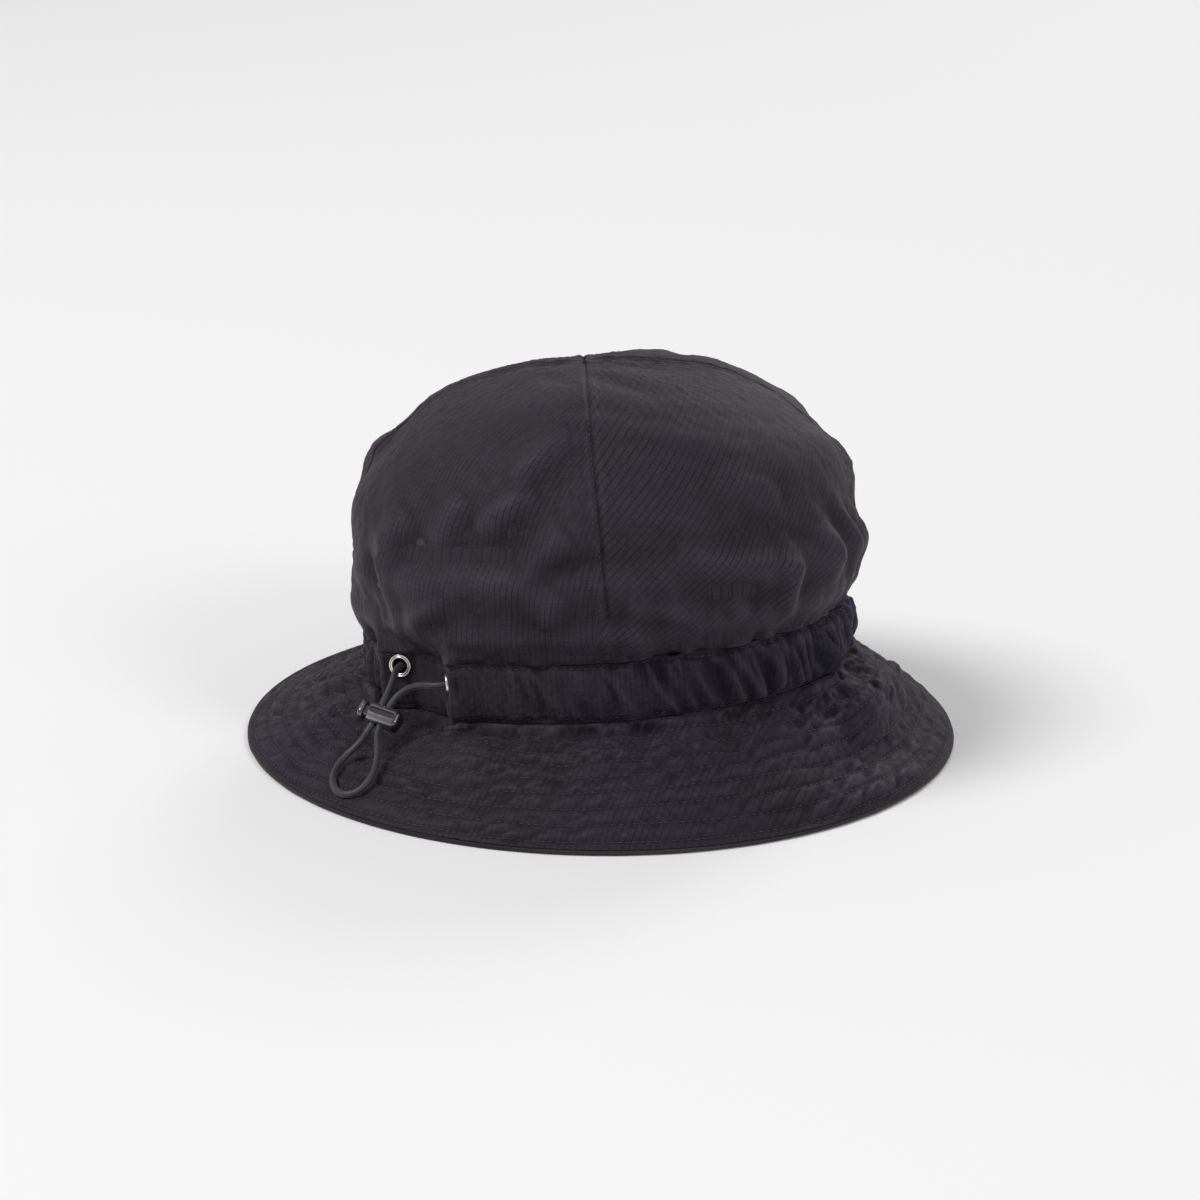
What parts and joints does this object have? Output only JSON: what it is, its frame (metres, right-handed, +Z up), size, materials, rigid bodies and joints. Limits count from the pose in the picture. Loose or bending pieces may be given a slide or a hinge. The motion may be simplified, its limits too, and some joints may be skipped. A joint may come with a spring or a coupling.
{
  "type": "bucket hat",
  "caption": "Soft bucket hat with a blousing darted crown, a gathered drawcord tunnel with cord lock, and a stitched downturned brim.",
  "frame": {"origin": "centre of the brim's lower edge, on the surface that the hat stands on", "axes": "+Z up, front of the hat towards -Y, drawcord exit towards -X"},
  "size_m": [0.295, 0.301, 0.1584],
  "materials": {
    "ripstop_cloth": "fine ripstop, dry matt with a slight sheen",
    "lining_cloth": "plain taffeta lining",
    "interlining": "stiff non-woven",
    "edge_binding": "narrow binding tape",
    "label_tape": "satin tape, blank",
    "cord_braid": "braided elastic cord",
    "nickel": "bright nickel plate",
    "gunmetal": "glossy dark moulding",
    "spring_steel": "bright wire"
  },
  "bodies": {
    "hat": {"crown_shell": "ripstop_cloth", "crown_lining": "lining_cloth", "drawcord_casing": "ripstop_cloth", "cord_exit_tab": "ripstop_cloth", "sweatband": "lining_cloth", "care_label": "label_tape", "brim_upper": "ripstop_cloth", "brim_interlining": "interlining", "brim_lower": "ripstop_cloth", "brim_edge_binding": "edge_binding", "eyelet_rear": "nickel", "eyelet_front": "nickel", "washer_rear": "nickel", "washer_front": "nickel", "drawcord_loop": "cord_braid", "drawcord_channel": "cord_braid"},
    "cord_lock": {"lock_barrel": "gunmetal", "lock_spring": "spring_steel"},
    "lock_button": {"lock_plunger": "gunmetal"}
  },
  "joints": [
    {"name": "lock_slide", "type": "slide", "parent": "hat", "child": "cord_lock", "axis": [-0.7495, -0.1846, -0.6358], "range_m": [-0.005, 0.003], "deforming": ["drawcord_loop"]},
    {"name": "plunger_press", "type": "slide", "parent": "cord_lock", "child": "lock_button", "axis": [0.4099, -0.8837, -0.2259], "range_m": [0, 0.0022], "stiffness_N_per_m": 1500, "springref_m": -0.002, "deforming": ["lock_spring"]}
  ]
}
